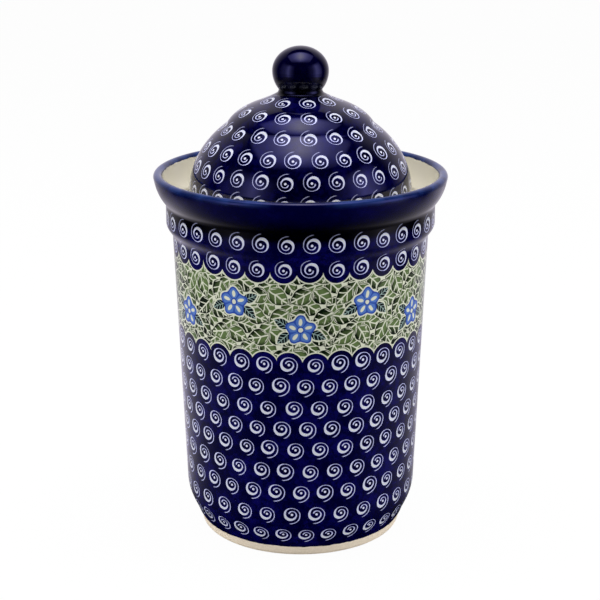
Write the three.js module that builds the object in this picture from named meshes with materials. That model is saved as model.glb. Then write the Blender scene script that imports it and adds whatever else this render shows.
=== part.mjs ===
// A stoneware kitchen canister: a tapered pot with a raised collar and a flared rim, a two-tier domed lid
// that drops into the rim and rests on a ledge, and a ball knob luted to the lid's crown.
// Millimetres, +Z up. The origin is the centre of the foot, on the surface that the pot stands on.
import * as THREE from "three";

// Pot, from the foot up
const footRadius = 55.7; // outer edge of the ring that the pot stands on
const footRingWidth = 7;
const footRecess = 1.5; // hollow under the pot, inside the standing ring
const footEdge = 3; // rounding at the outside of the standing ring
const footHeight = 6; // bare clay band below the heel
const footLean = 0.6; // how far that band leans out above its rounding
const heelHeight = 22;
const heelLowerOut = 3.3; // direction in which the heel's curve leaves the foot
const heelLowerUp = 7.5;
const heelUpperReach = 9; // length over which the heel's curve runs into the wall
const wallBottomRadius = 67.1;
const wallTopRadius = 72.7;
const wallHeight = 146.5;
const collarStep = 3.6; // how far the collar stands out from the wall
const collarCurveHeight = 8.5; // S-shaped underside of the collar
const collarCurveReach = 3.6; // length over which that curve runs into the wall and the collar
const collarHeight = 11; // straight side of the collar
const flareHeight = 17.1;
const flareReach = 6.7; // how far the rim reaches past the collar
const flareBellyInset = 1.3; // the flare's curve aims at a point this far inside the rim
const flareBellyRise = 6.5; // and this far above the collar
const lipThickness = 5.2;
const lipRounding = 2.4; // height of the lip's rounded crest
const wallThickness = 5.9;
const floorThickness = 6.5;
const innerHeelRadius = 15; // cove between the floor and the wall
const galleryWallThickness = 5.1; // wall round the lid's seat, behind the collar
const ledgeRise = 2.5; // lid's ledge above the collar's curved underside
const ledgeEdge = 1; // rounding at the ledge's inner edge

// Lid
const seatGap = 0.3; // between the ledge and the lid's brim
const brimClearance = 1.2; // all round the brim, inside the gallery
const ringClearance = 1.3; // all round the locating ring, inside the mouth
const brimThickness = 4.5;
const brimWidth = 7; // flat shelf outside the dome
const ringDepth = 9;
const ringThickness = 4.5;
const skirtHeight = 9.3; // upright wall between the brim and the dome's curve
const domeRise = 50.6;
const shoulderDrop = 12.5; // the cap springs this far below the top of the dome's curve
const capDrop = 5.9; // the cap's widest level below its shoulder
const capRise = 15.9; // cap above its shoulder, where its curve would end
const coneRadius = 26; // inside this the cap runs up in a cone to the knob
const coneRise = 5.2;
const coneCurve = 4; // the cone steepens over this last stretch below the knob
const lidThickness = 5.5;

// Knob
const knobRadius = 15.8;
const knobNeckInset = 3.6; // the neck is this much narrower than the ball, all round
const knobNeckHeight = 2.5;
const knobFootSpread = 1.8; // the neck widens by this much, all round, where it meets the crown
const knobFootCurve = 0.7; // height at which the neck's curve turns upright
const knobCrownHeight = 13.7; // flattened upper half of the ball
const luteGap = 0.3; // joint between the knob's foot and the crown

// Facets
const potSides = 56;
const knobSides = 36;
const curveSteps = 4;

// Sizes of the pot that follow from those above
const wallBase = footHeight + heelHeight;
const collarBase = wallBase + wallHeight;
const collarRadius = wallTopRadius + collarStep;
const collarSideBase = collarBase + collarCurveHeight;
const flareBase = collarSideBase + collarHeight;
const rimTop = flareBase + flareHeight;
const rimRadius = collarRadius + flareReach;
const mouthRadius = wallTopRadius - wallThickness;
const innerBottomRadius = wallBottomRadius - wallThickness;
const galleryRadius = collarRadius - galleryWallThickness;
const ledgeHeight = collarSideBase + ledgeRise;
const floorTop = footRecess + floorThickness;

// Sizes of the lid and the knob, measured up from the lid's seat and from the knob's foot
const brimRadius = galleryRadius - brimClearance;
const ringRadius = mouthRadius - ringClearance;
const domeBase = brimThickness + skirtHeight;
const outerDome = domeCurves(brimRadius - brimWidth, domeRise);
const innerDome = domeCurves(outerDome.radius - lidThickness, domeRise - lidThickness);
const knobNeckRadius = knobRadius - knobNeckInset;
const knobFootRadius = knobNeckRadius + knobFootSpread;
const coneAngle = Math.acos(coneRadius / outerDome.capRadius);
const coneBase = outerDome.capCentre + outerDome.capHalfHeight * Math.sin(coneAngle);
const coneSlope = outerDome.capHalfHeight / (outerDome.capRadius * Math.tan(coneAngle));
const crownHeight = coneBase + coneRise;
const ballCentre = knobNeckHeight + Math.sqrt(knobRadius ** 2 - knobNeckRadius ** 2);

// Two elliptic arcs that meet at the shoulder: the dome below it and the flatter cap above it.
function domeCurves(radius, rise) {
  const shoulderRise = rise - shoulderDrop;
  const shoulderAngle = Math.asin(shoulderRise / rise);
  const capHalfHeight = capDrop + capRise;
  const capAngle = Math.asin(capDrop / capHalfHeight);
  return {
    radius,
    rise,
    shoulderAngle,
    capAngle,
    capHalfHeight,
    capRadius: (radius * Math.cos(shoulderAngle)) / Math.cos(capAngle),
    capCentre: domeBase + shoulderRise - capDrop,
  };
}

// Turns a section about the upright axis. The path's x is the radius and its y is the height.
function turned(path, sides) {
  const geometry = new THREE.LatheGeometry(path.getPoints(curveSteps), sides);
  return geometry.rotateX(Math.PI / 2);
}

// The pot's section: out along the underside, up the outside, over the lip and down the inside to the
// floor.
function potGeometry() {
  const path = new THREE.Path();
  path.moveTo(0, footRecess);
  path.lineTo(footRadius - footRingWidth - footRecess, footRecess);
  path.lineTo(footRadius - footRingWidth, 0);
  path.lineTo(footRadius, 0);
  path.absarc(footRadius, footEdge, footEdge, -Math.PI / 2, 0, false);
  const heelRadius = footRadius + footEdge + footLean;
  path.lineTo(heelRadius, footHeight);

  const wallSlope = (wallTopRadius - wallBottomRadius) / wallHeight;
  path.bezierCurveTo(
    heelRadius + heelLowerOut,
    footHeight + heelLowerUp,
    wallBottomRadius - wallSlope * heelUpperReach,
    wallBase - heelUpperReach,
    wallBottomRadius,
    wallBase,
  );
  path.lineTo(wallTopRadius, collarBase);
  path.bezierCurveTo(
    wallTopRadius + wallSlope * collarCurveReach,
    collarBase + collarCurveReach,
    collarRadius,
    collarSideBase - collarCurveReach,
    collarRadius,
    collarSideBase,
  );
  path.lineTo(collarRadius, flareBase);

  const crestBase = rimTop - lipRounding;
  const crestRadius = lipThickness / 2;
  const bellyHeight = flareBase + flareBellyRise;
  path.quadraticCurveTo(rimRadius - flareBellyInset, bellyHeight, rimRadius, crestBase);
  path.absellipse(rimRadius - crestRadius, crestBase, crestRadius, lipRounding, 0, Math.PI, false);

  const innerBelly = rimRadius - lipThickness - flareBellyInset;
  path.quadraticCurveTo(innerBelly, bellyHeight, galleryRadius, flareBase);
  path.lineTo(galleryRadius, ledgeHeight);
  path.lineTo(mouthRadius + ledgeEdge, ledgeHeight);
  path.quadraticCurveTo(mouthRadius, ledgeHeight, mouthRadius, ledgeHeight - ledgeEdge);
  path.lineTo(mouthRadius, collarBase);
  path.lineTo(innerBottomRadius, wallBase);
  path.quadraticCurveTo(
    innerBottomRadius,
    floorTop,
    innerBottomRadius - innerHeelRadius,
    floorTop,
  );
  path.lineTo(0, floorTop);
  return turned(path, potSides);
}

// The lid's section, with its seat at height 0: down the inside of the dome, round the locating ring and
// the brim, and up the outside over the dome, the cap and its cone to the flat that carries the knob.
function lidGeometry() {
  const path = new THREE.Path();
  const inner = innerDome;
  const outer = outerDome;
  path.moveTo(0, inner.capCentre + inner.capHalfHeight);
  path.absellipse(
    0, inner.capCentre, inner.capRadius, inner.capHalfHeight, Math.PI / 2, inner.capAngle, true,
  );
  path.absellipse(0, domeBase, inner.radius, inner.rise, inner.shoulderAngle, 0, true);
  path.lineTo(ringRadius - ringThickness, 0);

  const ringCurve = ringThickness / 2;
  const ringEnd = ringCurve - ringDepth;
  path.lineTo(ringRadius - ringThickness, ringEnd);
  path.absarc(ringRadius - ringCurve, ringEnd, ringCurve, Math.PI, Math.PI * 2, false);
  path.lineTo(ringRadius, 0);

  const brimCurve = brimThickness / 2;
  const brimEnd = brimRadius - brimCurve;
  path.lineTo(brimEnd, 0);
  path.absarc(brimEnd, brimCurve, brimCurve, -Math.PI / 2, Math.PI / 2, false);
  path.lineTo(outer.radius, brimThickness);
  path.absellipse(0, domeBase, outer.radius, outer.rise, 0, outer.shoulderAngle, false);
  path.absellipse(
    0, outer.capCentre, outer.capRadius, outer.capHalfHeight, outer.capAngle, coneAngle, false,
  );
  const coneAim = knobFootRadius + coneCurve;
  path.quadraticCurveTo(
    coneAim,
    coneBase + coneSlope * (coneRadius - coneAim),
    knobFootRadius,
    crownHeight,
  );
  path.lineTo(0, crownHeight);
  return turned(path, potSides);
}

// The knob's section, with its foot at height 0: a flared neck, a round lower half and a flatter top.
function knobGeometry() {
  const path = new THREE.Path();
  const ballStart = -Math.acos(knobNeckRadius / knobRadius);
  path.moveTo(0, 0);
  path.lineTo(knobFootRadius, 0);
  path.quadraticCurveTo(knobNeckRadius, knobFootCurve, knobNeckRadius, knobNeckHeight);
  path.absarc(0, ballCentre, knobRadius, ballStart, 0, false);
  path.absellipse(0, ballCentre, knobRadius, knobCrownHeight, 0, Math.PI / 2, false);
  return turned(path, knobSides);
}

const cobaltGlaze = { color: 0x17145a, roughness: 0.12, metalness: 0 };

function piece(name, geometry) {
  const mesh = new THREE.Mesh(geometry, new THREE.MeshStandardMaterial(cobaltGlaze));
  mesh.name = name;
  return mesh;
}

const canister = new THREE.Group();
canister.add(piece("canister_body", potGeometry()));

const lid = new THREE.Group();
lid.position.z = ledgeHeight + seatGap;
lid.add(piece("lid_dome", lidGeometry()));
canister.add(lid);

const knob = piece("lid_knob", knobGeometry());
knob.position.z = crownHeight + luteGap;
lid.add(knob);

export default canister;
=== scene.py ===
# Stoneware canister under a cobalt glaze with stamped spirals: turned pot, domed lid and ball knob.
import math

import bpy
from mathutils.kdtree import KDTree
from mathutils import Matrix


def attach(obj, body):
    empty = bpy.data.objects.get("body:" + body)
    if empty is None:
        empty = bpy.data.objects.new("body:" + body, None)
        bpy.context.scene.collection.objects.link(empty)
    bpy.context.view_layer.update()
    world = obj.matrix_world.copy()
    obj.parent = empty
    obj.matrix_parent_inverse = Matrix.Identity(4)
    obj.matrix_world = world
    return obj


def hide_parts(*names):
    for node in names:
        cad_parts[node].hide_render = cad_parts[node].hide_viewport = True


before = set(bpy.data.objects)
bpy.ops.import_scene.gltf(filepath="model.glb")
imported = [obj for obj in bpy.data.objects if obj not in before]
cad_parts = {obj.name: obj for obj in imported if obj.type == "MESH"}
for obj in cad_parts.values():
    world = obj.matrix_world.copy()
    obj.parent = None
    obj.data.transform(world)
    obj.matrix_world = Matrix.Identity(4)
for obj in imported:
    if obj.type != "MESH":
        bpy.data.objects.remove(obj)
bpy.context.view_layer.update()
mm = 0.001
print("canister: frame loaded")

# Turning: vertices nearer than the weld are merged, and edges under this angle look smooth
lathe = {"weld": 0.01, "smoothBelow": 50.0}


# Sections are drawn in millimetres as (radius, height), and each curve leaves out its first point.
def curvePoints(steps, *controls):
    points = []
    for step in range(1, steps + 1):
        share = step / steps
        level = controls
        while len(level) > 1:
            level = [
                (a[0] + (b[0] - a[0]) * share, a[1] + (b[1] - a[1]) * share)
                for a, b in zip(level, level[1:])
            ]
        points.append(level[0])
    return points


def arcPoints(steps, centre, radii, start, end):
    points = []
    for step in range(1, steps + 1):
        angle = math.radians(start + (end - start) * step / steps)
        out = centre[0] + radii[0] * math.cos(angle)
        up = centre[1] + radii[1] * math.sin(angle)
        points.append((out, up))
    return points


def measureSection(runs):
    # all points in a row, the length along the section at each, and where each run starts and ends
    points = []
    along = []
    spans = {}
    travelled = 0.0
    for name, run in runs.items():
        start = travelled
        for point in run:
            if points:
                travelled += math.dist(points[-1], point)
            points.append(point)
            along.append(travelled)
        spans[name] = (start, travelled)
    return points, along, spans


def alongAtHeight(points, along, height):
    # the first place where the section passes this height, walking from its start
    for (a, b), (lengthA, lengthB) in zip(zip(points, points[1:]), zip(along, along[1:])):
        low, high = sorted((a[1], b[1]))
        if low <= height <= high and high > low:
            return lengthA + (lengthB - lengthA) * (height - a[1]) / (b[1] - a[1])
    return along[-1]


def placeRows(points, along, rows):
    # rows of stamps in their order along the section, with that length in place of the height
    return sorted((alongAtHeight(points, along, row[0]), *row[1:]) for row in rows)


def turnPiece(name, points, along, sides):
    # one vertex drawn along the section by extruding, then spun about the upright axis
    bpy.ops.object.select_all(action="DESELECT")
    bpy.ops.mesh.primitive_plane_add(size=mm)
    piece = bpy.context.object
    piece.name = name
    piece.data.name = name
    bpy.ops.object.mode_set(mode="EDIT")
    bpy.ops.mesh.select_all(action="SELECT")
    bpy.ops.mesh.merge(type="CENTER")
    bpy.ops.transform.translate(value=(points[0][0] * mm, 0, points[0][1] * mm))
    for a, b in zip(points, points[1:]):
        step = ((b[0] - a[0]) * mm, 0, (b[1] - a[1]) * mm)
        bpy.ops.mesh.extrude_region_move(TRANSFORM_OT_translate={"value": step})
    bpy.ops.mesh.select_all(action="SELECT")
    bpy.ops.mesh.spin(steps=sides, angle=math.tau, center=(0, 0, 0), axis=(0, 0, 1))
    bpy.ops.mesh.select_all(action="SELECT")
    bpy.ops.mesh.remove_doubles(threshold=lathe["weld"] * mm)
    bpy.ops.mesh.normals_make_consistent(inside=False)
    bpy.ops.object.mode_set(mode="OBJECT")
    bpy.ops.object.shade_smooth_by_angle(angle=math.radians(lathe["smoothBelow"]))
    noteAlong(piece, points, along)
    return piece


def noteAlong(piece, points, along):
    # every vertex keeps its length along the section, which the glaze patterns are placed by
    nearest = KDTree(len(points))
    for index, (radius, height) in enumerate(points):
        nearest.insert((radius * mm, 0, height * mm), index)
    nearest.balance()
    layer = piece.data.attributes.new("along", "FLOAT", "POINT")
    for vertex in piece.data.vertices:
        x, y, z = vertex.co
        found = nearest.find((math.hypot(x, y), 0, z))
        layer.data[vertex.index].value = along[found[1]]


def layOutBake(piece, place):
    # an even map of the surface for baked textures
    mesh = piece.data
    layer = mesh.uv_layers.new(name="OFBake")
    along = mesh.attributes["along"].data
    for face in mesh.polygons:
        middleTurn = math.atan2(face.center.x, -face.center.y) / math.tau
        middleAlong = sum(along[v].value for v in face.vertices) / len(face.vertices)
        for loop in face.loop_indices:
            vertex = mesh.vertices[mesh.loops[loop].vertex_index]
            x, y, z = vertex.co
            turn = middleTurn
            if math.hypot(x, y) > lathe["weld"] * mm:
                turn = math.atan2(x, -y) / math.tau
                turn += round(middleTurn - turn)
            layer.data[loop].uv = place(turn, along[vertex.index].value, middleAlong)


def spread(value, stops):
    # straight lines between (value, result) stops
    for (a, resultA), (b, resultB) in zip(stops, stops[1:]):
        if value <= b:
            return resultA + (resultB - resultA) * (value - a) / (b - a)
    return stops[-1][1]


# Node helpers: nodes go into the tree opened last. A value is a number, a colour, the code of a
# paint, or the socket that gives one of these.
bench = {"tree": None}


def openTree(owner):
    owner.use_nodes = True
    bench["tree"] = owner.node_tree
    owner.node_tree.nodes.clear()


def addNode(kind):
    return bench["tree"].nodes.new("ShaderNode" + kind)


def paint(code):
    channels = [int(code[i:i + 2], 16) / 255 for i in (0, 2, 4)]
    linear = [c / 12.92 if c <= 0.04045 else ((c + 0.055) / 1.055) ** 2.4 for c in channels]
    return (*linear, 1.0)


def connect(socket, value):
    if isinstance(value, bpy.types.NodeSocket):
        bench["tree"].links.new(value, socket)
    elif isinstance(value, str):
        socket.default_value = paint(value)
    else:
        socket.default_value = value


def calc(operation, *values):
    node = addNode("Math")
    node.operation = operation
    for socket, value in zip(node.inputs, values):
        connect(socket, value)
    return node.outputs["Value"]


def plus(a, b):
    return calc("ADD", a, b)


def minus(a, b):
    return calc("SUBTRACT", a, b)


def times(a, b):
    return calc("MULTIPLY", a, b)


def timesPlus(a, b, c):
    return calc("MULTIPLY_ADD", a, b, c)


def over(a, b):
    return calc("DIVIDE", a, b)


def larger(a, b):
    return calc("MAXIMUM", a, b)


def centred(value, width):
    # a value from 0 to 1 laid over this width, with zero in the middle
    return timesPlus(value, width, -width / 2)


def ease(value, low, high):
    # 0 at low and 1 at high, with a soft step between
    node = addNode("MapRange")
    node.interpolation_type = "SMOOTHSTEP"
    connect(node.inputs["Value"], value)
    connect(node.inputs["From Min"], low)
    connect(node.inputs["From Max"], high)
    return node.outputs["Result"]


def within(value, low, high, soft):
    rise = ease(value, low - soft, low + soft)
    fall = ease(value, high + soft, high - soft)
    return times(rise, fall)


# A mix node has its share in socket 0, numbers in 2 and 3, and colours in 6 and 7.
def mixPaint(amount, first, second):
    node = addNode("Mix")
    node.data_type = "RGBA"
    connect(node.inputs[0], amount)
    connect(node.inputs[6], first)
    connect(node.inputs[7], second)
    return node.outputs[2]


def mixNumber(amount, first, second):
    node = addNode("Mix")
    connect(node.inputs[0], amount)
    connect(node.inputs[2], first)
    connect(node.inputs[3], second)
    return node.outputs[0]


def vectorOf(x, y, z):
    node = addNode("CombineXYZ")
    for socket, value in zip(node.inputs, (x, y, z)):
        connect(socket, value)
    return node.outputs["Vector"]


def partsOf(vector):
    node = addNode("SeparateXYZ")
    connect(node.inputs["Vector"], vector)
    return node.outputs["X"], node.outputs["Y"], node.outputs["Z"]


def noise(position, size, detail):
    # size is one blotch in millimetres
    node = addNode("TexNoise")
    connect(node.inputs["Vector"], position)
    node.inputs["Scale"].default_value = 1 / (size * mm)
    node.inputs["Detail"].default_value = detail
    return node.outputs[0]


def chance(column, row, seed):
    # three steady random numbers for one stamp or leaf
    node = addNode("TexWhiteNoise")
    node.noise_dimensions = "3D"
    connect(node.inputs["Vector"], vectorOf(column, row, seed))
    return partsOf(node.outputs["Color"])


def newRamp(value, low, high):
    # a colour ramp read from low to high, with its red, green and blue and its alpha
    node = addNode("ValToRGB")
    connect(node.inputs["Fac"], over(minus(value, low), high - low))
    split = addNode("SeparateColor")
    connect(split.inputs["Color"], node.outputs["Color"])
    return node.color_ramp, split.outputs, node.outputs["Alpha"]


def setStop(ramp, index, position, colour):
    # a new ramp already has two stops
    stop = ramp.elements[index] if index < 2 else ramp.elements.new(position)
    stop.position = position
    stop.color = colour


def follow(value, stops, most):
    # a colour ramp through stops of (place, number, number), where no number is over most
    low, high = stops[0][0], stops[-1][0]
    ramp, (red, green, _), _ = newRamp(value, low, high)
    for index, (place, *numbers) in enumerate(stops):
        colour = (numbers[0] / most, numbers[-1] / most, 0.0, 1.0)
        setStop(ramp, index, (place - low) / (high - low), colour)
    return ramp, [times(channel, most) for channel in (red, green)]


def lengthOf(x, y):
    return calc("SQRT", plus(times(x, x), times(y, y)))


def turned(x, y, angle):
    node = addNode("VectorRotate")
    node.rotation_type = "Z_AXIS"
    connect(node.inputs["Vector"], vectorOf(x, y, 0.0))
    connect(node.inputs["Angle"], angle)
    return partsOf(node.outputs["Vector"])[:2]


def newMaterial(name):
    material = bpy.data.materials.new(name)
    openTree(material)
    return material, addNode("OutputMaterial").inputs["Surface"]


def readSurface():
    # place on a turned piece: share of a turn from the front, and radius and length along it in mm
    position = addNode("TexCoord").outputs["Object"]
    x, y, z = partsOf(position)
    turn = over(calc("ARCTAN2", x, times(y, -1.0)), math.tau)
    radius = times(lengthOf(x, y), 1 / mm)
    reader = addNode("Attribute")
    reader.attribute_name = "along"
    along = reader.outputs["Fac"]
    return {"position": position, "turn": turn, "radius": radius, "along": along}


# Hand-cut spiral stamp, millimetres from its dot. Each lap goes from the left over the top and
# lists the share of the lap, the line's radius there and half its width. A pair of values, here
# and below, mostly says where something begins and where it is full.
spiral = {
    "firstLap": [
        (0.0, 1.75, 0.34), (0.12, 1.95, 0.36), (0.3, 2.2, 0.2), (0.5, 2.45, 0.36),
        (0.62, 2.55, 0.47), (0.75, 3.05, 0.7), (0.87, 3.6, 0.92), (1.0, 4.0, 0.6),
    ],
    "secondLap": [
        (0.0, 4.0, 0.6), (0.12, 4.15, 0.37), (0.22, 4.05, 0.18), (0.32, 4.1, 0.15),
        (0.45, 4.4, 0.22), (0.56, 4.65, 0.27), (0.75, 5.7, 0.25), (1.0, 7.0, 0.25),
    ],
    "start": 0.04,
    "end": 0.77,
    "endSoft": 0.02,
    "reach": 8.0,
    "edge": 0.08,
    "dotRadius": 0.68,
    "mostInRow": 64.0,
    "seed": 3.0,
    "shift": 0.9,
    "twist": 0.3,
    "smallest": 0.94,
    "creep": 0.3,
    "creepBlotch": 3.2,
    "creepFrom": (0.5, 0.32),
    "tail": (0.25, 0.7),
    "tailFade": (0.1, 0.5),
    "dotPaint": "dadcf2",
    "thinPaint": "c6caf8",
    "thickPaint": "d0d3d4",
    "thick": (0.14, 0.42),
}


def stampCell(surface, rows, span, upward):
    # the row table is a stepped ramp: stamps in the row, lead, row's place and turned over or not
    start, end = span
    ramp, (red, green, blue), flipped = newRamp(surface["along"], start, end)
    ramp.interpolation = "CONSTANT"
    position = 0.0
    for index, (rowAlong, stamps, front, turnedOver) in enumerate(rows):
        if index:
            position = ((rows[index - 1][0] + rowAlong) / 2 - start) / (end - start)
        amount = stamps / spiral["mostInRow"]
        lead = (front / 360 * stamps) % 1.0
        place = (rowAlong - start) / (end - start)
        setStop(ramp, index, position, (amount, lead, place, turnedOver))
    count = calc("ROUND", times(red, spiral["mostInRow"]))
    rowPlace = timesPlus(blue, end - start, start)

    column = minus(times(surface["turn"], count), green)
    index = calc("ROUND", column)
    share = over(minus(column, index), count)
    across = times(times(share, math.tau), surface["radius"])
    up = times(minus(surface["along"], rowPlace), upward)

    # no two stamps sit, turn or print quite alike
    luck = chance(calc("WRAP", index, count, 0.0), rowPlace, spiral["seed"])
    smallest = spiral["smallest"]
    faint, flippedFaint = spiral["tailFade"]
    return {
        "x": minus(across, centred(luck[0], spiral["shift"])),
        "y": minus(up, centred(luck[1], spiral["shift"])),
        "angle": timesPlus(flipped, math.pi, centred(luck[2], spiral["twist"])),
        "size": timesPlus(luck[1], 2 - 2 * smallest, smallest),
        "tailFade": timesPlus(flipped, flippedFaint - faint, faint),
        "position": surface["position"],
    }


def spiralStamp(cell, weight):
    # weight is the line's width against the table's
    x, y = turned(cell["x"], cell["y"], cell["angle"])
    radius = over(lengthOf(x, y), cell["size"])
    leftward = times(x, -1.0)
    sweep = calc("FRACT", over(calc("ARCTAN2", y, leftward), math.tau))
    soft = spiral["endSoft"]
    started = ease(sweep, spiral["start"] - soft, spiral["start"] + soft)
    ended = ease(sweep, spiral["end"] + soft, spiral["end"] - soft)
    tail = times(ease(sweep, *spiral["tail"]), cell["tailFade"])
    ended = times(ended, minus(1.0, tail))
    edge = spiral["edge"]
    line = 0.0
    inside = 0.0
    for lap, shown in ((spiral["firstLap"], started), (spiral["secondLap"], ended)):
        ramp, (lineRadius, half) = follow(sweep, lap, spiral["reach"])
        ramp.interpolation = "CARDINAL"
        offLine = calc("ABSOLUTE", minus(radius, lineRadius))
        depth = timesPlus(half, weight, times(offLine, -1.0))
        inside = larger(inside, times(depth, shown))
        line = larger(line, times(ease(depth, -edge, edge), shown))

    # the blue creeps over thin lines here and there
    body = ease(inside, *spiral["thick"])
    blotch = noise(cell["position"], spiral["creepBlotch"], 1.0)
    most = timesPlus(body, -spiral["creep"], spiral["creep"])
    creep = times(ease(blotch, *spiral["creepFrom"]), most)
    line = times(line, minus(1.0, creep))

    dot = ease(radius, spiral["dotRadius"] + edge, spiral["dotRadius"] - edge)
    colour = mixPaint(body, spiral["thinPaint"], spiral["thickPaint"])
    return larger(line, dot), mixPaint(dot, colour, spiral["dotPaint"])


# Cobalt ground, sponged on: deep blue with brighter smudges
cobalt = {
    "potDeep": "000029",
    "potSmudge": "07054c",
    "lidDeep": "00001a",
    "lidSmudge": "040338",
    # painted shade for the crease under the flare
    "creaseShade": "000004",
    "broad": 13.0,
    "broadShare": 0.55,
    "fine": 2.4,
    "fineShare": 0.45,
    "detail": 3.0,
    "smudgeFrom": (0.42, 0.66),
}


def cobaltPaint(position, deep, smudge):
    broad = noise(position, cobalt["broad"], cobalt["detail"])
    fine = noise(position, cobalt["fine"], cobalt["detail"])
    mixed = timesPlus(fine, cobalt["fineShare"], times(broad, cobalt["broadShare"]))
    smudged = ease(mixed, *cobalt["smudgeFrom"])
    return mixPaint(smudged, cobalt[deep], cobalt[smudge])


# Clear glaze over it all: slow waves, a fine ripple, and the stamps a little lower than the slip
# round them. Its shine is uneven and its edges wander. Inside it shows the pale body as cream.
glaze = {
    "wave": 34.0,
    "waveHeight": 0.05,
    "ripple": 3.5,
    "rippleHeight": 0.0035,
    "stampDepth": 0.02,
    "ior": 1.5,
    "rough": 0.045,
    "roughSpread": 0.05,
    "roughBlotch": 9.0,
    "edgeWander": 1.2,
    "edgeBlotch": 5.0,
    "cream": "fdf5da",
}


def glazeHeight(position, mark):
    wave = times(noise(position, glaze["wave"], 1.0), glaze["waveHeight"])
    ripple = times(noise(position, glaze["ripple"], 1.0), glaze["rippleHeight"])
    return timesPlus(mark, -glaze["stampDepth"], plus(wave, ripple))


def glazeRoughness(position, least):
    uneven = noise(position, glaze["roughBlotch"], 2.0)
    return timesPlus(uneven, glaze["roughSpread"], least)


def wanderingAlong(surface):
    # the length along the section, shaken so that no edge of the glaze runs dead level
    wander = noise(surface["position"], glaze["edgeBlotch"], 2.0)
    level = minus(surface["along"], glaze["edgeWander"] / 2)
    return timesPlus(wander, glaze["edgeWander"], level)


def glazedMaterial(name):
    material, end = newMaterial(name)
    shader = addNode("BsdfPrincipled")
    shader.inputs["IOR"].default_value = glaze["ior"]
    connect(end, shader.outputs["BSDF"])
    return material, shader


def dress(shader, colour, rough, height):
    # height is in millimetres
    bump = addNode("Bump")
    bump.inputs["Strength"].default_value = 1.0
    bump.inputs["Distance"].default_value = mm
    connect(bump.inputs["Height"], height)
    connect(shader.inputs["Base Color"], colour)
    connect(shader.inputs["Roughness"], rough)
    connect(shader.inputs["Normal"], bump.outputs["Normal"])


# Bare clay, where the foot stands and where pot and lid touch
clay = {
    "paint": "f8ead4",
    "grainPaint": "f0e1ca",
    "grain": 0.9,
    "grainFrom": (0.35, 0.7),
    "rough": 0.72,
    "pit": 0.7,
    "pitDepth": 0.02,
}


def clayTone(position):
    grain = ease(noise(position, clay["grain"], 4.0), *clay["grainFrom"])
    return mixPaint(grain, clay["grainPaint"], clay["paint"])


# Pot, drawn from the middle of its recess outwards, up, over the lip and down inside
pot = {
    "sides": 176,
    "recess": [(46.5, 1.5), (47.8, 1.5), (48.2, 0.5)],
    "ring": [(48.5, 0.0), (49.5, 0.0)],
    "footRadius": 55.7,
    "footEdge": 3.0,
    "heel": [(59.3, 6.0), (62.6, 13.5), (66.76, 19.0), (67.1, 28.0)],
    "glazeEdge": 7.0,
    "glazeGap": 0.4,
    "glazeRoll": 0.35,
    "rollPlace": 1.2,
    "rollWidth": 2.6,
    "wallTop": (72.7, 174.5),
    "collarCurve": [(72.84, 178.1), (76.3, 179.4), (76.3, 183.0)],
    "crease": [(76.3, 192.4), (76.3, 194.0), (77.4, 195.3)],
    "flareAim": (81.7, 200.5),
    "rim": (83.0, 208.7),
    "lipHalf": (2.6, 2.4),
    "innerAim": (76.5, 200.5),
    "gallery": (71.2, 194.0),
    "galleryFoot": [(71.2, 186.3), (71.2, 185.5), (70.4, 185.5)],
    "ledgeEdge": [(67.8, 185.5), (66.8, 185.5), (66.8, 184.5)],
    "innerWall": [(66.8, 174.5), (61.2, 28.0)],
    "cove": [(61.2, 8.0), (46.2, 8.0)],
    "stampLine": 0.96,
    "plainCover": 0.7,
    "plainSoft": 1.0,
    # painted shade under the flare: heights it spans, how far below the lip and the flare it
    # starts, how much it dims the stamps and the heights over which it dims them
    "creaseShade": (184.5, 190.0),
    "creaseShadeOut": (3.0, 1.5),
    "creaseShadeCover": 0.42,
    "stampShadeFrom": (188.0, 191.5),
    # the lip's own dark blue, then a painted reflection lighter towards the sides and in streaks,
    # and the span of the lip it covers
    "lipPaint": "000630",
    "lipReflectionPaint": "1e346a",
    "lipReflectionTurn": (0.026, 0.052),
    "lipReflectionWander": 0.03,
    "lipReflectionBlotch": 30.0,
    "lipSpan": (0.8, 2.0),
    "lipSpanSoft": 2.6,
    "lipReflectionStreak": 9.0,
    "lipReflectionStreakFrom": (0.36, 0.58),
    "lipReflectionStreakLeast": 0.45,
    "creamFrom": 0.4,
    "creamSoft": 0.2,
    "bareEnd": 0.1,
    "bareSoft": 0.15,
    "ledgeBare": (0.3, 0.6),
    "ledgeSoft": 0.3,
    "bakeUp": (0.005, 0.065, 0.87, 0.995),
    "bakeRound": 0.998,
}


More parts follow.
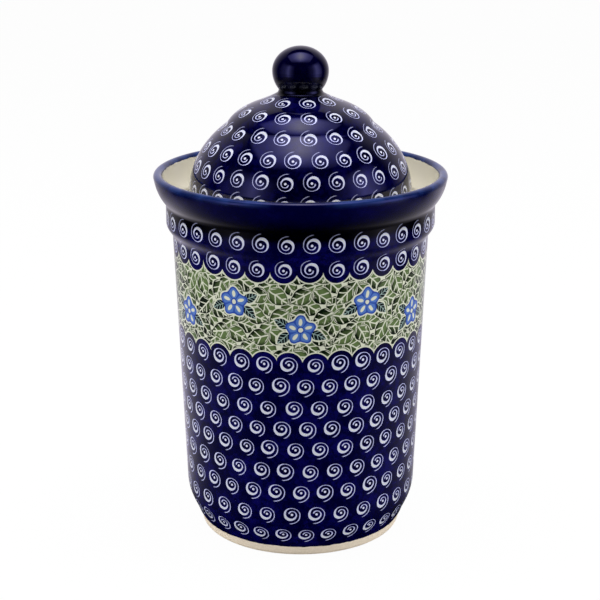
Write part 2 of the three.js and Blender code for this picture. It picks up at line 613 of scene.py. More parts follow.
def potRuns():
    heel = [pot["heel"][0]] + curvePoints(22, *pot["heel"])
    bare = [p for p in heel if p[1] < pot["glazeEdge"]]
    glazed = []
    for radius, height in heel:
        past = height - pot["glazeEdge"]
        if past > pot["glazeGap"]:
            fromRoll = (past - pot["rollPlace"]) / pot["rollWidth"]
            glazed.append((radius + pot["glazeRoll"] * math.exp(-fromRoll ** 2), height))

    recessMiddle = (0.0, pot["recess"][0][1])
    recessRun = [recessMiddle] + curvePoints(4, recessMiddle, pot["recess"][0])
    recessRun += curvePoints(4, *pot["recess"])
    ringRun = curvePoints(3, pot["recess"][-1], *pot["ring"])
    ringRun += curvePoints(2, pot["ring"][-1], (pot["footRadius"], 0.0))
    footEdge = pot["footEdge"]
    ringRun += arcPoints(6, (pot["footRadius"], footEdge), (footEdge, footEdge), -90, 0)
    collarRun = curvePoints(12, pot["wallTop"], *pot["collarCurve"])
    collarRun += curvePoints(2, pot["collarCurve"][-1], pot["crease"][0])
    collarRun += curvePoints(4, *pot["crease"])
    rimRadius, rimHeight = pot["rim"]
    crest = (rimRadius - pot["lipHalf"][0], rimHeight)
    lipEnd = (rimRadius - 2 * pot["lipHalf"][0], rimHeight)
    galleryRun = curvePoints(3, pot["gallery"], pot["galleryFoot"][0])
    galleryRun += curvePoints(3, *pot["galleryFoot"])
    insideRun = curvePoints(3, pot["ledgeEdge"][-1], pot["innerWall"][0])
    insideRun += curvePoints(18, *pot["innerWall"])
    insideRun += curvePoints(10, pot["innerWall"][-1], *pot["cove"])
    insideRun += curvePoints(5, pot["cove"][-1], (0.0, pot["cove"][-1][1]))
    return {
        "recess": recessRun,
        "ring": ringRun + bare,
        "heel": glazed,
        "wall": curvePoints(26, pot["heel"][-1], pot["wallTop"]),
        "collar": collarRun,
        "flare": curvePoints(14, pot["crease"][-1], pot["flareAim"], pot["rim"]),
        "lip": arcPoints(18, crest, pot["lipHalf"], 0, 180),
        "innerFlare": curvePoints(12, lipEnd, pot["innerAim"], pot["gallery"]),
        "gallery": galleryRun,
        "ledge": [pot["ledgeEdge"][0]] + curvePoints(4, *pot["ledgeEdge"]),
        "inside": insideRun,
    }


# Rows of stamps from the collar down to the heel: height, stamps in the row, degrees of one from
# the front, and 1 where the stamp was turned over
potRows = [
    (186.8, 35, -6.0, 1),
    (172.3, 32, -7.2, 1),
    (118.8, 32, -4.8, 0),
    (106.3, 33, 1.9, 0),
    (93.3, 31, -3.0, 0),
    (81.0, 31, 3.0, 0),
    (69.0, 31, -2.5, 0),
    (55.9, 31, 4.6, 0),
    (42.9, 31, 0.1, 0),
    (29.3, 30, -4.2, 0),
    (15.8, 31, 2.8, 0),
]

# Painted band between two scalloped edges
band = {
    "upper": 172.3,
    "lower": 118.8,
    "endSoft": 0.01,
    "scallop": 7.6,
    "scallopShift": 0.5,
    "scallopSoft": 0.1,
    "scallopMargin": (0.5, 0.9),
    "girth": 452.0,
    "ground": "d1d4c0",
    "tremble": 1.6,
    "trembleBlotch": 6.0,
    "brush": 3.0,
    "brushFrom": (0.24, 0.4),
    "paintEdge": (-0.1, 0.12),
}

# Its leaves, millimetres. The two lattices have a shift in cells and a seed each.
leaf = {
    "lattices": [(0.0, 11.0), (0.5, 12.0)],
    "columns": 38,
    "row": 11.8,
    "length": 12.8,
    "width": 9.2,
    "taper": 0.75,
    "broadBack": 0.35,
    "narrowest": 0.4,
    "lean": 1.7,
    "leanLuck": 1.0,
    "edge": (-0.12, 0.16),
    "margin": 0.42,
    "marginSoft": 0.1,
    "dark": "081608",
    "light": "5c7044",
    "shadeFrom": (-0.5, 1.4),
    "shadeLuck": 0.7,
    "shadeSide": 2.2,
    "edgeShade": 0.8,
    "edgeShadeFrom": (2.6, 0.2),
    "spray": 22.0,
    "sprayShade": (2.6, -1.45),
    "veinGap": 4.5,
    "veinHalf": 0.38,
    "veinSoft": 0.1,
    "veinSlant": 0.9,
    "branchSoft": (0.12, -0.08),
    "veinFrom": (0.4, 1.0),
}

# Its blossoms, each with three dark sprigs at a place and a lean
blossom = {
    "count": 12,
    "radius": 8.6,
    "sway": 6.6,
    "petals": 5,
    "petalNotch": 0.12,
    "petalDark": "26439a",
    "petalLight": "4e72b8",
    "petalRim": (1.6, 0.4),
    "parting": (-0.75, -0.97),
    "partingCover": 0.85,
    "strokePlace": 4.5,
    "strokeLong": 2.0,
    "stroke": (1.1, 0.85),
    "eyeRing": (2.1, 1.8),
    "eye": (1.4, 1.1),
    "clear": (-0.7, -1.1),
    "sprigs": [((10.2, 3.6), 0.5), ((9.6, -5.0), -0.75), ((-10.0, -3.4), 3.6)],
    "sprigLength": 9.2,
    "sprigWidth": 5.2,
    "sprigVeinGap": 2.2,
    "sprigVeinHalf": 0.2,
    "sprigVeinCover": 0.8,
    "sprigDark": "071418",
    "sprigVein": "9fb8b2",
}


def leafShape(x, y, length, width):
    # how far inside a pointed leaf, in millimetres, widest behind the middle
    share = over(x, length / 2)
    taper = larger(minus(1.0, times(share, share)), 0.0)
    taper = calc("POWER", taper, leaf["taper"])
    lean = larger(timesPlus(share, -leaf["broadBack"], 1.0), leaf["narrowest"])
    half = times(times(taper, lean), width / 2)
    past = larger(minus(calc("ABSOLUTE", share), 1.0), 0.0)
    half = timesPlus(past, -length / 2, half)
    return minus(half, calc("ABSOLUTE", y))


def leafVeins(x, y, gap, half):
    # a rib down the middle and slanting branches at both sides of it
    side = calc("ABSOLUTE", y)
    rib = ease(side, half + leaf["veinSoft"], half - leaf["veinSoft"])
    comb = calc("FRACT", over(timesPlus(side, -leaf["veinSlant"], x), gap))
    comb = calc("ABSOLUTE", minus(comb, 0.5))
    none, full = [(half + soft) / gap for soft in leaf["branchSoft"]]
    return larger(rib, ease(comb, none, full))


def leafLattice(girth, up, shift, seed, broad):
    # one leaf in each cell, leaning left and right by turns
    pitch = band["girth"] / leaf["columns"]
    column = plus(over(girth, pitch), shift)
    row = plus(over(up, leaf["row"]), shift)
    columnIndex = calc("FLOOR", column)
    rowIndex = calc("FLOOR", row)
    x = centred(calc("FRACT", column), pitch)
    y = centred(calc("FRACT", row), leaf["row"])
    steady = calc("WRAP", columnIndex, float(leaf["columns"]), 0.0)
    luck = chance(steady, rowIndex, seed)
    parity = calc("WRAP", plus(steady, rowIndex), 2.0, 0.0)
    lean = plus(centred(parity, leaf["lean"]), centred(luck[0], leaf["leanLuck"]))
    x, y = turned(x, y, plus(lean, math.pi / 2))
    depth = leafShape(x, y, leaf["length"], leaf["width"])
    veins = leafVeins(x, y, leaf["veinGap"], leaf["veinHalf"])

    # one half of a leaf is darker than the other, and the brush left more paint along its edge
    half = ease(y, -leaf["shadeSide"], leaf["shadeSide"])
    shade = timesPlus(luck[1], leaf["shadeLuck"], half)
    atEdge = ease(depth, *leaf["edgeShadeFrom"])
    shade = plus(minus(shade, times(atEdge, leaf["edgeShade"])), broad)
    lit = ease(shade, *leaf["shadeFrom"])
    tone = mixPaint(lit, leaf["dark"], leaf["light"])
    # the veins stop short of the leaf's edge
    veins = times(veins, ease(depth, *leaf["veinFrom"]))
    tone = mixPaint(veins, tone, band["ground"])
    margin = leaf["margin"]
    soft = leaf["marginSoft"]
    around = ease(depth, -margin - soft, -margin + soft)
    return around, ease(depth, *leaf["edge"]), tone


def sprigLeaves(x, y):
    sprigs = []
    for place, lean in blossom["sprigs"]:
        leafX = minus(x, place[0])
        leafY = minus(y, place[1])
        leafX, leafY = turned(leafX, leafY, -lean)
        depth = leafShape(leafX, leafY, blossom["sprigLength"], blossom["sprigWidth"])
        gap = blossom["sprigVeinGap"]
        veins = leafVeins(leafX, leafY, gap, blossom["sprigVeinHalf"])
        sprigs.append((depth, times(veins, blossom["sprigVeinCover"])))
    return sprigs


def petalPaint(x, y, reach, petals, flowerDepth):
    dark = blossom["petalDark"]
    pale = band["ground"]
    rim = ease(flowerDepth, *blossom["petalRim"])
    blue = mixPaint(rim, blossom["petalLight"], dark)
    parting = ease(petals, *blossom["parting"])
    blue = mixPaint(times(parting, blossom["partingCover"]), blue, dark)
    # each petal has a pale stroke down its middle
    petalTurn = math.tau / blossom["petals"]
    sector = over(calc("ARCTAN2", x, y), petalTurn)
    sector = times(minus(sector, calc("ROUND", sector)), petalTurn)
    strokeX = times(reach, calc("SINE", sector))
    strokeY = times(reach, calc("COSINE", sector))
    strokeY = over(minus(strokeY, blossom["strokePlace"]), blossom["strokeLong"])
    stroke = ease(lengthOf(strokeX, strokeY), *blossom["stroke"])
    blue = mixPaint(stroke, blue, pale)
    blue = mixPaint(ease(reach, *blossom["eyeRing"]), blue, dark)
    return mixPaint(ease(reach, *blossom["eye"]), blue, pale)


def bandPaint(surface, middle, offEdge):
    # a brush never draws two leaves quite alike, so the drawing is shaken a little
    position = surface["position"]
    shake = centred(noise(position, band["trembleBlotch"], 2.0), band["tremble"])
    girth = timesPlus(surface["turn"], band["girth"], shake)
    up = plus(minus(surface["along"], middle), shake)
    strokes = ease(noise(position, band["brush"], 2.0), *band["brushFrom"])

    # some sprays of leaves are painted thicker than others
    broad = timesPlus(noise(position, leaf["spray"], 1.0), *leaf["sprayShade"])
    leaves = [leafLattice(girth, up, *lattice, broad) for lattice in leaf["lattices"]]

    # blossoms stand high and low by turns, every second one the other way round
    pitch = band["girth"] / blossom["count"]
    column = over(girth, pitch)
    index = calc("ROUND", column)
    side = timesPlus(calc("WRAP", index, 2.0, 0.0), 2.0, -1.0)
    x = times(times(minus(column, index), pitch), side)
    y = timesPlus(side, -blossom["sway"], up)
    reach = lengthOf(x, y)
    petals = calc("COSINE", times(calc("ARCTAN2", x, y), float(blossom["petals"])))
    notch = blossom["petalNotch"] * blossom["radius"]
    edge = timesPlus(petals, notch, blossom["radius"] - notch)
    flowerDepth = minus(edge, reach)
    sprigs = sprigLeaves(x, y)

    # the leaves leave room for the scallops, the blossoms and the sprigs
    taken = sprigs[0][0]
    for depth, _ in sprigs[1:]:
        taken = larger(taken, depth)
    taken = larger(flowerDepth, taken)
    room = times(offEdge, ease(taken, *blossom["clear"]))
    ground = band["ground"]
    colour = ground
    for around, mask, tone in leaves:
        colour = mixPaint(around, colour, ground)
        mask = times(times(mask, room), strokes)
        colour = mixPaint(mask, colour, tone)
    for depth, veins in sprigs:
        tone = mixPaint(veins, blossom["sprigDark"], blossom["sprigVein"])
        colour = mixPaint(ease(depth, *band["paintEdge"]), colour, tone)
    blue = petalPaint(x, y, reach, petals, flowerDepth)
    return mixPaint(ease(flowerDepth, *band["paintEdge"]), colour, blue)


def potGlaze(points, along, spans):
    material, shader = glazedMaterial("potGlaze")
    surface = readSurface()
    position = surface["position"]
    level = surface["along"]

    def heights(pair):
        return [alongAtHeight(points, along, height) for height in pair]

    lower, upper = heights((band["lower"], band["upper"]))
    rows = placeRows(points, along, potRows)
    cell = stampCell(surface, rows, (spans["heel"][0], spans["lip"][1]), 1.0)
    mark, markPaint = spiralStamp(cell, pot["stampLine"])

    # the band keeps clear of the round edges that surround its two rows of stamps
    middle = (upper + lower) / 2
    half = calc("SIGN", minus(level, middle))
    fromArc = timesPlus(half, -band["scallopShift"], cell["y"])
    offStamp = lengthOf(cell["x"], fromArc)
    scallop = band["scallop"]
    soft = band["scallopSoft"]
    outOfArc = ease(offStamp, scallop - soft, scallop + soft)
    inBand = times(within(level, lower, upper, band["endSoft"]), outOfArc)
    near, clear = [scallop + margin for margin in band["scallopMargin"]]
    offEdge = ease(offStamp, near, clear)

    # the flare and the lip are plain
    colour = cobaltPaint(position, "potDeep", "potSmudge")
    flareStart = spans["flare"][0]
    lipStart, lipEnd = spans["lip"]
    plain = within(level, flareStart, lipEnd, pot["plainSoft"])
    plain = times(plain, pot["plainCover"])
    colour = mixPaint(plain, colour, cobalt["potDeep"])

    # painted shade: in the crease under the flare the blue darkens to near black, and the stamps
    # below it are dimmed, where the flare's overhang shades the collar
    belowLip, belowFlare = pot["creaseShadeOut"]
    creaseShade = ease(level, *heights(pot["creaseShade"]))
    creaseShade = times(creaseShade, ease(level, lipStart - belowLip, flareStart - belowFlare))
    colour = mixPaint(creaseShade, colour, cobalt["creaseShade"])
    colour = mixPaint(inBand, colour, bandPaint(surface, middle, offEdge))
    cover = ease(level, *heights(pot["stampShadeFrom"]))
    shown = times(mark, timesPlus(cover, -pot["creaseShadeCover"], 1.0))
    colour = mixPaint(shown, colour, markPaint)

    # over the lip the blue is darkest at the front, and a painted reflection makes it lighter steel
    # blue in streaks towards the sides
    edge = wanderingAlong(surface)
    sideReflection = centred(noise(position, pot["lipReflectionBlotch"], 1.0), pot["lipReflectionWander"])
    sideReflection = plus(sideReflection, calc("ABSOLUTE", surface["turn"]))
    sideReflection = ease(sideReflection, *pot["lipReflectionTurn"])
    lipToneAndReflection = mixPaint(sideReflection, pot["lipPaint"], pot["lipReflectionPaint"])
    lipSpanStart, lipSpanEnd = pot["lipSpan"]
    onLip = within(edge, lipStart + lipSpanStart, lipEnd + lipSpanEnd, pot["lipSpanSoft"])
    reflectionStreaks = ease(noise(position, pot["lipReflectionStreak"], 2.0), *pot["lipReflectionStreakFrom"])
    least = pot["lipReflectionStreakLeast"]
    reflectionStreaks = timesPlus(reflectionStreaks, 1.0 - least, least)
    colour = mixPaint(times(onLip, reflectionStreaks), colour, lipToneAndReflection)

    # cream inside, bare clay on the foot and the ledge
    heelStart = spans["heel"][0]
    outside = within(edge, heelStart, lipEnd - pot["creamFrom"], pot["creamSoft"])
    colour = mixPaint(outside, glaze["cream"], colour)
    bareEnd = heelStart - pot["bareEnd"]
    bare = within(edge, spans["ring"][0], bareEnd, pot["bareSoft"])
    before, short = pot["ledgeBare"]
    ledgeStart, ledgeEnd = spans["ledge"]
    ledge = within(level, ledgeStart - before, ledgeEnd - short, pot["ledgeSoft"])
    bare = larger(bare, ledge)
    colour = mixPaint(bare, colour, clayTone(position))

    gloss = glazeRoughness(position, glaze["rough"])
    rough = larger(gloss, times(bare, clay["rough"]))
    pits = noise(position, clay["pit"], 2.0)
    pits = times(pits, times(bare, clay["pitDepth"]))
    height = plus(pits, glazeHeight(position, mark))
    dress(shader, colour, rough, height)
    return material


def makePot():
    points, along, spans = measureSection(potRuns())
    piece = turnPiece("canisterPot", points, along, pot["sides"])
    marks = (0.0, spans["ring"][1], spans["lip"][1], along[-1])
    stops = list(zip(marks, pot["bakeUp"]))

    def place(turn, length, middle):
        return 0.5 + turn * pot["bakeRound"], spread(length, stops)

    layOutBake(piece, place)
    piece.data.materials.append(potGlaze(points, along, spans))
    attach(piece, "pot")
    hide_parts("canister_body")
    print("canister: pot", len(piece.data.polygons), "faces")


# Lid, drawn from the crown outwards: crown, cap, dome, brim, locating ring and the hollow inside
lid = {
    "sides": 176,
    "seat": 185.8,
    "crown": (14.0, 254.38),
    "coneAim": (18.0, 252.25),
    "coneRadius": 26.0,
    "cap": (43.06, 21.8),
    "capCentre": 231.8,
    "shoulder": 237.7,
    "dome": (63.0, 50.6),
    "domeCentre": 199.6,
    "brimRadius": 70.0,
    "brimThickness": 4.5,
    "brimFillet": 1.2,
    "ringRadius": 65.5,
    "ringThickness": 4.5,
    "ringDepth": 9.0,
    "wall": 5.5,
    "stampLine": 0.85,
    "creamSoft": 0.2,
    "bareFrom": 1.5,
    "bareSoft": 0.3,
    "bakeMiddle": 0.43,
    "bakeReach": 0.42,
    "bakeUnder": (0.87, 0.99),
    "bakeRound": 0.99,
}

# Rows of stamps from the crown down, listed as the pot's are
lidRows = [
    (251.7, 9, 11.6, 1),
    (245.9, 14, 8.6, 1),
    (236.5, 19, 6.1, 1),
    (226.9, 24, -4.0, 1),
    (216.4, 27, 5.6, 1),
    (203.9, 29, 4.2, 1),
    (193.4, 29, -2.0, 1),
]


def lidRuns():
    def angleAt(rise, half):
        return math.degrees(math.asin(rise / half))

    seat = lid["seat"]
    wall = lid["wall"]
    crown = lid["crown"]
    crownMiddle = (0.0, crown[1])
    capRadius, capHalf = lid["cap"]
    capCentre = (0.0, lid["capCentre"])
    capRise = lid["shoulder"] - lid["capCentre"]
    domeRadius, domeHalf = lid["dome"]
    domeCentre = (0.0, lid["domeCentre"])
    domeRise = lid["shoulder"] - lid["domeCentre"]
    coneAngle = math.acos(lid["coneRadius"] / capRadius)
    coneFoot = (lid["coneRadius"], lid["capCentre"] + capHalf * math.sin(coneAngle))
    capRun = curvePoints(10, crown, lid["coneAim"], coneFoot)
    shoulderOnCap = angleAt(capRise, capHalf)
    capRun += arcPoints(16, capCentre, lid["cap"], math.degrees(coneAngle), shoulderOnCap)

    brimTop = seat + lid["brimThickness"]
    brimHalf = lid["brimThickness"] / 2
    brimCentre = (lid["brimRadius"] - brimHalf, seat + brimHalf)
    fillet = lid["brimFillet"]
    domeEnd = (domeRadius, brimTop + fillet)
    domeRun = arcPoints(30, domeCentre, lid["dome"], angleAt(domeRise, domeHalf), 0)
    brimRun = curvePoints(4, domeEnd, (domeRadius, brimTop), (domeRadius + fillet, brimTop))
    brimRun += curvePoints(2, brimRun[-1], (brimCentre[0], brimTop))
    brimRun += arcPoints(10, brimCentre, (brimHalf, brimHalf), 90, -90)

    ringTop = (lid["ringRadius"], seat)
    ringHalf = lid["ringThickness"] / 2
    ringCentre = (lid["ringRadius"] - ringHalf, seat - lid["ringDepth"] + ringHalf)
    ringRun = curvePoints(2, ringTop, (lid["ringRadius"], ringCentre[1]))
    ringRun += arcPoints(12, ringCentre, (ringHalf, ringHalf), 0, -180)
    innerStart = (lid["ringRadius"] - lid["ringThickness"], seat)
    ringRun += curvePoints(2, ringRun[-1], innerStart)

    # the hollow follows the outside one wall thickness in
    innerDome = (domeRadius - wall, domeHalf - wall)
    innerShoulder = angleAt(domeRise - wall, innerDome[1])
    innerRadius = innerDome[0] * math.cos(math.radians(innerShoulder))
    innerCap = (innerRadius / math.cos(math.radians(shoulderOnCap)), capHalf)
    hollowRun = curvePoints(2, innerStart, (innerDome[0], lid["domeCentre"]))
    hollowRun += arcPoints(16, domeCentre, innerDome, 0, innerShoulder)
    hollowRun += arcPoints(14, (0.0, lid["capCentre"] - wall), innerCap, shoulderOnCap, 90)
    return {
        "crown": [crownMiddle] + curvePoints(4, crownMiddle, crown),
        "cap": capRun,
        "dome": domeRun + [domeEnd],
        "brim": brimRun,
        "seat": [ringTop],
        "ring": ringRun,
        "hollow": hollowRun,
    }


def lidGlaze(points, along, spans):
    material, shader = glazedMaterial("lidGlaze")
    surface = readSurface()
    position = surface["position"]
    rows = placeRows(points, along, lidRows)
    cell = stampCell(surface, rows, (spans["cap"][0], spans["dome"][1]), -1.0)
    mark, markPaint = spiralStamp(cell, lid["stampLine"])
    ground = cobaltPaint(position, "lidDeep", "lidSmudge")
    colour = mixPaint(mark, ground, markPaint)

    # cream from the brim's edge inwards, with bare clay where the brim rests on the ledge
    edge = wanderingAlong(surface)
    brimEdge = sum(spans["brim"]) / 2
    soft = lid["creamSoft"]
    under = ease(edge, brimEdge - soft, brimEdge + soft)
    colour = mixPaint(under, colour, glaze["cream"])
    bare = within(edge, brimEdge + lid["bareFrom"], spans["seat"][1], lid["bareSoft"])
    colour = mixPaint(bare, colour, clayTone(position))

    gloss = glazeRoughness(position, glaze["rough"])
    rough = larger(gloss, times(bare, clay["rough"]))
    dress(shader, colour, rough, glazeHeight(position, mark))
    return material


def makeLid():
    points, along, spans = measureSection(lidRuns())
    piece = turnPiece("lidDome", points, along, lid["sides"])
    brimEnd = spans["brim"][1]
    stops = list(zip((brimEnd, along[-1]), lid["bakeUnder"]))

    def place(turn, length, middle):
        # the top as a disc, and the underside as a strip beside it
        if middle < brimEnd:
            centre = lid["bakeMiddle"]
            reach = lid["bakeReach"] * length / brimEnd
            angle = turn * math.tau
            return centre + reach * math.sin(angle), centre - reach * math.cos(angle)
        return 0.5 + turn * lid["bakeRound"], spread(length, stops)

    layOutBake(piece, place)
    piece.data.materials.append(lidGlaze(points, along, spans))
    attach(piece, "lid")
    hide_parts("lid_dome")
    print("canister: lid", len(piece.data.polygons), "faces")


# Ball knob, luted to the crown
knob = {
    "sides": 96,
    "foot": (14.0, 254.39),
    "neck": (12.2, 257.18),
    "neckAim": (12.2, 255.2),
    "ball": (15.8, 15.8),
    "ballTop": (15.8, 13.7),
    "ballCentre": 267.22,
    "paint": "010018",
    "cover": 0.8,
    "rough": 0.04,
    # painted shade under the ball towards the neck, where it starts and where it is full, and the
    # duller shine there
    "neckShadePaint": "000003",
    "neckShadeAndDullTurn": (9.5, 3.0),
    "lowRough": 0.2,
    "bakeUp": (0.01, 0.99),
    "bakeRound": 0.99,
}


def knobRuns():
    centre = (0.0, knob["ballCentre"])
    neckAngle = -math.degrees(math.acos(knob["neck"][0] / knob["ball"][0]))
    footCentre = (0.0, knob["foot"][1])
    return {
        "foot": [footCentre] + curvePoints(3, footCentre, knob["foot"]),
        "neck": curvePoints(12, knob["foot"], knob["neckAim"], knob["neck"]),
        "ball": arcPoints(20, centre, knob["ball"], neckAngle, 0),
        "top": arcPoints(24, centre, knob["ballTop"], 0, 90),
    }


def knobGlaze(spans):
    material, shader = glazedMaterial("knobGlaze")
    surface = readSurface()
    position = surface["position"]
    ground = cobaltPaint(position, "lidDeep", "lidSmudge")
    colour = mixPaint(knob["cover"], ground, knob["paint"])
    # painted shade: towards the neck, under the ball, the blue darkens to black, and there the
    # shine also dulls
    none, full = [spans["ball"][0] + past for past in knob["neckShadeAndDullTurn"]]
    low = ease(surface["along"], none, full)
    colour = mixPaint(low, colour, knob["neckShadePaint"])
    gloss = glazeRoughness(position, knob["rough"])
    rough = mixNumber(low, gloss, knob["lowRough"])
    dress(shader, colour, rough, glazeHeight(position, 0.0))
    return material


def makeKnob():
    points, along, spans = measureSection(knobRuns())
    piece = turnPiece("lidKnob", points, along, knob["sides"])
    stops = list(zip((0.0, along[-1]), knob["bakeUp"]))

    def place(turn, length, middle):
        return 0.5 + turn * knob["bakeRound"], spread(length, stops)

    layOutBake(piece, place)
    piece.data.materials.append(knobGlaze(spans))
    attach(piece, "lid")
    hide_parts("lid_knob")
    print("canister: knob", len(piece.data.polygons), "faces")


# Studio, metres
studio = {
    "camera": (-0.0003, -0.8676, 0.398),
    "pitch": 16.91,
    "lens": 93.96,
    "sensor": 36,
    "aim": (0.0, 0.0, 0.2),
    "fill": 0.45,
    "floorSize": 12,
    "floorDrop": 0.0002,
    "floorPaper": 0.85,
    "floorGlow": 0.97,
}

# name, place, width, height, brightness; mirror rays meet the tent instead
softboxes = [
    ("topBox", (0.0, 0.0, 1.25), 0.96, 0.96, 4.0),
    ("leftBox", (-1.3, 0.0, 0.7), 0.9, 1.2, 3.0),
    ("rightBox", (1.3, 0.0, 0.7), 0.9, 1.2, 3.0),
]

# Tent that only mirror rays meet: dark on the camera's side, white paper behind, a panel at each
# side and a softbox overhead. Brightness by degrees from the front, with the left first, by metres
# up the wall, and by metres out from the middle. The box overhead is dimmer across and ahead.
tent = {
    "sides": 72,
    "section": [(55.0, 0.15), (1800.0, 0.15), (1800.0, 2400.0), (0.0, 2400.0)],
    "brightest": 3.0,
    "paperTint": (1.04, 0.97, 1.12),
    "dimTint": (0.8, 0.78, 2.6),
    "brightTint": (1.0, 0.96, 1.4),
    "paperRound": [
        (-180, 0.75), (-158, 0.65), (-143, 0.45), (-128, 0.28), (-114, 0.12), (-105, 0.0),
        (108, 0.0), (118, 0.12), (128, 0.32), (142, 0.5), (157, 0.68), (180, 0.75),
    ],
    "paperUp": [(0.0, 1.0), (1.0, 0.95), (2.0, 0.6), (2.4, 0.4)],
    "panelRound": [
        (-180, 0.0), (-96, 0.0), (-80, 0.16), (-66, 0.26), (-58, 0.55), (-51, 0.9),
        (-44, 0.5), (-36, 0.18), (-24, 0.0), (28, 0.0), (50, 0.16), (60, 0.5),
        (68, 1.0), (76, 0.85), (88, 0.4), (100, 0.0), (180, 0.0),
    ],
    "panelUp": [(0.0, 1.0), (1.1, 1.0), (1.65, 0.0), (2.4, 0.0)],
    "nearFloor": [
        (-180, 0.8), (-140, 0.7), (-115, 0.44), (-105, 0.3), (-95, 0.18), (-75, 0.065),
        (-40, 0.012), (-15, 0.0), (15, 0.0), (40, 0.012), (76, 0.085), (95, 0.17),
        (106, 0.24), (117, 0.35), (129, 0.42), (150, 0.5), (180, 0.8),
    ],
    "farFloor": [
        (-180, 0.5), (-150, 0.45), (-120, 0.18), (-112, 0.02), (-92, 0.0), (-60, 0.1),
        (-48, 0.08), (-28, 0.0), (38, 0.0), (60, 0.13), (72, 0.32), (82, 0.26),
        (92, 0.03), (110, 0.0), (130, 0.48), (150, 0.65), (180, 0.5),
    ],
    "floorEdge": [(0.055, 0.0), (0.066, 0.12), (0.085, 0.6), (0.11, 1.0), (2.0, 1.0)],
    "farFrom": (0.32, 0.6),
    "panelFrom": (0.68, 0.86),
    "panelFoot": 0.7,
    "boxAcross": [
        (0.0, 1.0), (0.24, 0.8), (0.5, 0.55), (0.75, 0.37), (1.0, 0.25), (1.4, 0.16),
        (1.55, 0.0), (1.8, 0.0),
    ],
    "boxAhead": [
        (-1.8, 0.0), (-1.5, 0.1), (-1.23, 0.8), (-0.76, 2.1), (-0.4, 3.0), (0.06, 2.9),
        (0.5, 2.3), (0.72, 1.2), (0.85, 0.0), (1.8, 0.0),
    ],
}


def mixShaders(amount, first, second, end):
    mix = addNode("MixShader")
    for socket, value in zip(mix.inputs, (amount, first.outputs[0], second.outputs[0])):
        connect(socket, value)
    connect(end, mix.outputs[0])


def seesBackground():
    # camera, mirror and see-through rays meet the white background, and other light the plain fill
    path = addNode("LightPath")
    seen = larger(path.outputs["Is Camera Ray"], path.outputs["Is Glossy Ray"])
    return larger(seen, path.outputs["Is Transmission Ray"])


def makeWorld():
    world = bpy.data.worlds.new("studioWorld")
    openTree(world)
    output = addNode("OutputWorld")
    fill = addNode("Background")
    white = addNode("Background")
    for light, strength in ((fill, studio["fill"]), (white, 1.0)):
        light.inputs["Color"].default_value = (1, 1, 1, 1)
        light.inputs["Strength"].default_value = strength
    mixShaders(seesBackground(), fill, white, output.inputs["Surface"])
    bpy.context.scene.world = world


def makeFloor():
    bpy.ops.object.select_all(action="DESELECT")
    below = (0, 0, -studio["floorDrop"])
    bpy.ops.mesh.primitive_plane_add(size=studio["floorSize"], location=below)
    floor = bpy.context.object
    floor.name = "studioFloor"
    material, end = newMaterial("floorPaper")
    paper = addNode("BsdfDiffuse")
    paper.inputs["Color"].default_value = (*[studio["floorPaper"]] * 3, 1)
    glow = addNode("Emission")
    glow.inputs["Strength"].default_value = 1.0
    seen = times(seesBackground(), studio["floorGlow"])
    mixShaders(seen, paper, glow, end)
    floor.data.materials.append(material)


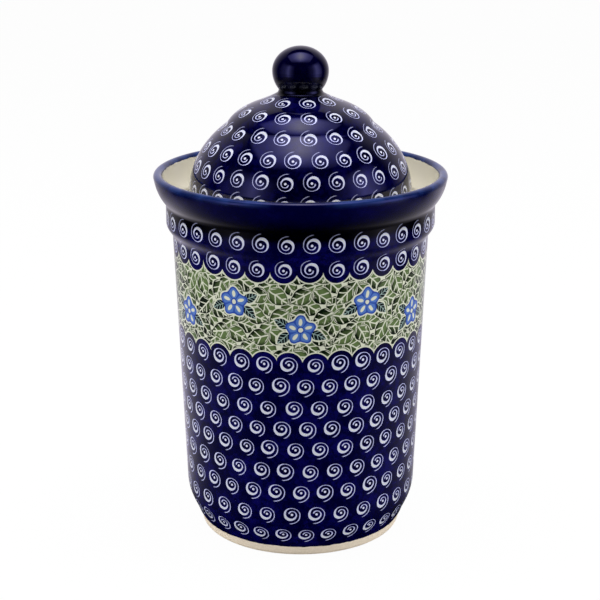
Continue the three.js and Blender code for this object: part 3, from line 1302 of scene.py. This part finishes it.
def makeTent():
    points, along, _ = measureSection({"tent": tent["section"]})
    piece = turnPiece("studioTent", points, along, tent["sides"])
    material, end = newMaterial("tentPaper")
    surface = readSurface()
    degrees = times(surface["turn"], 360.0)
    x, y, height = partsOf(surface["position"])
    out = times(surface["radius"], mm)
    isFloor = calc("LESS_THAN", height, mm)
    isTop = calc("GREATER_THAN", height, tent["section"][-1][1] * mm - mm)

    def levelAt(value, name):
        return follow(value, tent[name], tent["brightest"])[1][0]

    far = ease(out, *tent["farFrom"])
    nearLevel = levelAt(degrees, "nearFloor")
    onFloor = mixNumber(far, nearLevel, levelAt(degrees, "farFloor"))
    onFloor = times(onFloor, levelAt(out, "floorEdge"))
    foot = ease(out, *tent["panelFrom"])
    onFloor = times(onFloor, minus(1.0, foot))
    backdrop = levelAt(degrees, "paperRound")
    paper = times(backdrop, levelAt(height, "paperUp"))
    paper = mixNumber(isFloor, mixNumber(isTop, paper, 0.0), onFloor)
    paper = mixNumber(times(isFloor, foot), paper, backdrop)

    panels = levelAt(degrees, "panelRound")
    lowered = times(foot, tent["panelFoot"])
    upright = mixNumber(isFloor, levelAt(height, "panelUp"), lowered)
    across = levelAt(calc("ABSOLUTE", x), "boxAcross")
    overhead = times(across, levelAt(y, "boxAhead"))
    lamps = mixNumber(isTop, times(panels, upright), overhead)

    # faint light in the blue glaze looks bluer than strong light does
    strong = ease(lamps, 0.0, tent["brightest"])
    lampTint = mixPaint(strong, (*tent["dimTint"], 1), (*tent["brightTint"], 1))
    both = addNode("AddShader")
    lights = ((paper, (*tent["paperTint"], 1)), (lamps, lampTint))
    for socket, (level, tint) in zip(both.inputs, lights):
        glow = addNode("Emission")
        connect(glow.inputs["Strength"], level)
        connect(glow.inputs["Color"], tint)
        connect(socket, glow.outputs[0])
    connect(end, both.outputs[0])
    material.cycles.emission_sampling = "NONE"
    piece.data.materials.append(material)
    piece.visible_camera = False
    piece.visible_diffuse = False
    piece.visible_shadow = False


def aimAt(thing, target):
    away = [b - a for a, b in zip(thing.location, target)]
    level = math.hypot(away[0], away[1])
    thing.rotation_euler = (math.atan2(level, -away[2]), 0, math.atan2(-away[0], away[1]))


def makeLamps():
    for name, place, width, height, brightness in softboxes:
        lamp = bpy.data.lights.new(name, "AREA")
        lamp.shape = "RECTANGLE"
        lamp.size = width
        lamp.size_y = height
        lamp.energy = brightness * math.pi * width * height
        holder = bpy.data.objects.new(name, lamp)
        bpy.context.scene.collection.objects.link(holder)
        holder.location = place
        holder.visible_glossy = False
        aimAt(holder, studio["aim"])


def makeCamera():
    camera = bpy.data.cameras.new("photoCamera")
    camera.lens = studio["lens"]
    camera.sensor_width = studio["sensor"]
    holder = bpy.data.objects.new("photoCamera", camera)
    bpy.context.scene.collection.objects.link(holder)
    holder.location = studio["camera"]
    holder.rotation_euler = (math.radians(90 - studio["pitch"]), 0, 0)
    bpy.context.scene.camera = holder
    bpy.context.scene.view_settings.view_transform = "Standard"


makePot()
makeLid()
makeKnob()
makeWorld()
makeFloor()
makeTent()
makeLamps()
makeCamera()
print("canister: studio ready")
